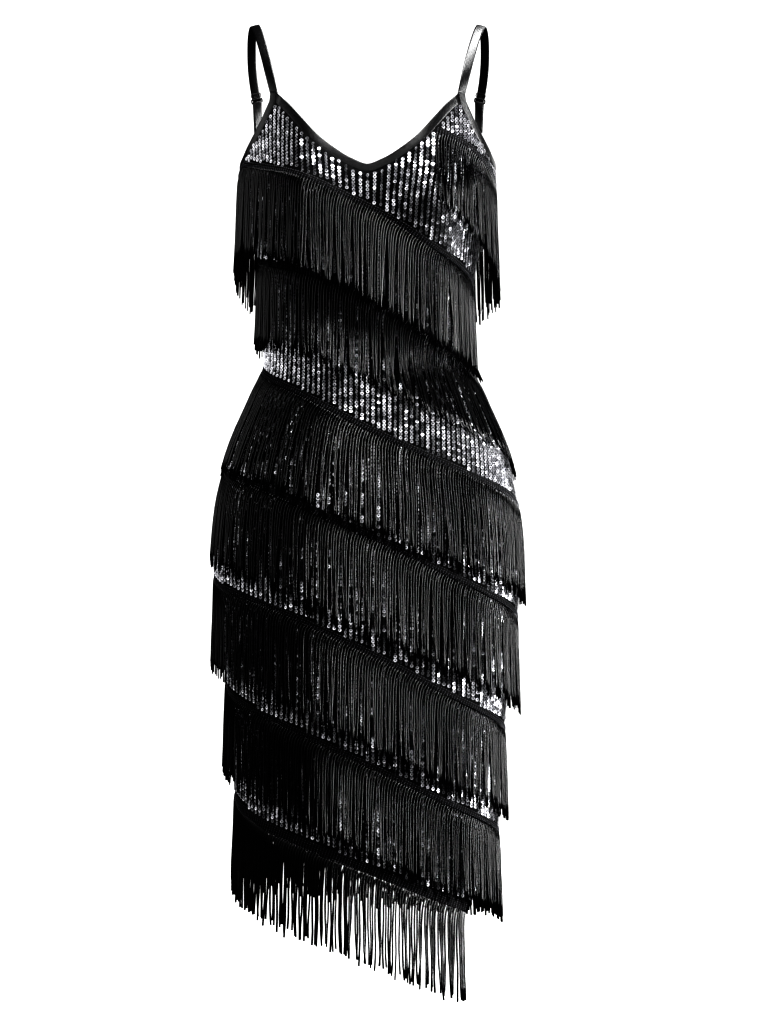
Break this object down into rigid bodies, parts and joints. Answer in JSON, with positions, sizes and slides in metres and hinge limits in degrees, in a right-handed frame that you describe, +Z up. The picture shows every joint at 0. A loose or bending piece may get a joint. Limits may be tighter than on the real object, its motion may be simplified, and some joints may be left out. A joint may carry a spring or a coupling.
{
  "type": "flapper dress",
  "caption": "Black sequinned flapper dress, worn as on an unseen figure, with narrow straps, a V neck, slanted fringe tiers and a slanted hem.",
  "frame": {"origin": "midway between the undersides of the two strap crests, where the wearer's shoulders hold the dress", "axes": "+Z up, the front faces -Y, +X towards the wearer's left, which is the right of someone facing the dress"},
  "size_m": [0.3564, 0.265, 1.0975],
  "materials": {
    "sequin_mesh": "black stretch mesh covered with small gunmetal sequins",
    "satin_tape": "black satin elastic tape",
    "chainette_fringe": "black rayon chainette with a soft sheen",
    "strap_hardware": "black lacquered metal"
  },
  "bodies": {
    "root": {"front_panel": "sequin_mesh", "back_panel": "sequin_mesh", "neckline_binding": "satin_tape", "back_neck_binding": "satin_tape", "armhole_binding_left": "satin_tape", "armhole_binding_right": "satin_tape", "strap_left": "satin_tape", "strap_right": "satin_tape", "strap_tab_left": "satin_tape", "strap_tab_right": "satin_tape", "slider_left": "strap_hardware", "slider_right": "strap_hardware", "ring_left": "strap_hardware", "ring_right": "strap_hardware", "fringe_front_a": "chainette_fringe", "fringe_front_1": "chainette_fringe", "fringe_front_2": "chainette_fringe", "fringe_front_3": "chainette_fringe", "fringe_front_4": "chainette_fringe", "fringe_front_5": "chainette_fringe", "fringe_front_6": "chainette_fringe", "fringe_front_7": "chainette_fringe", "fringe_back_1": "chainette_fringe", "fringe_back_2": "chainette_fringe", "fringe_back_3": "chainette_fringe", "fringe_back_4": "chainette_fringe", "fringe_back_5": "chainette_fringe", "fringe_back_6": "chainette_fringe", "fringe_back_7": "chainette_fringe"}
  },
  "joints": []
}
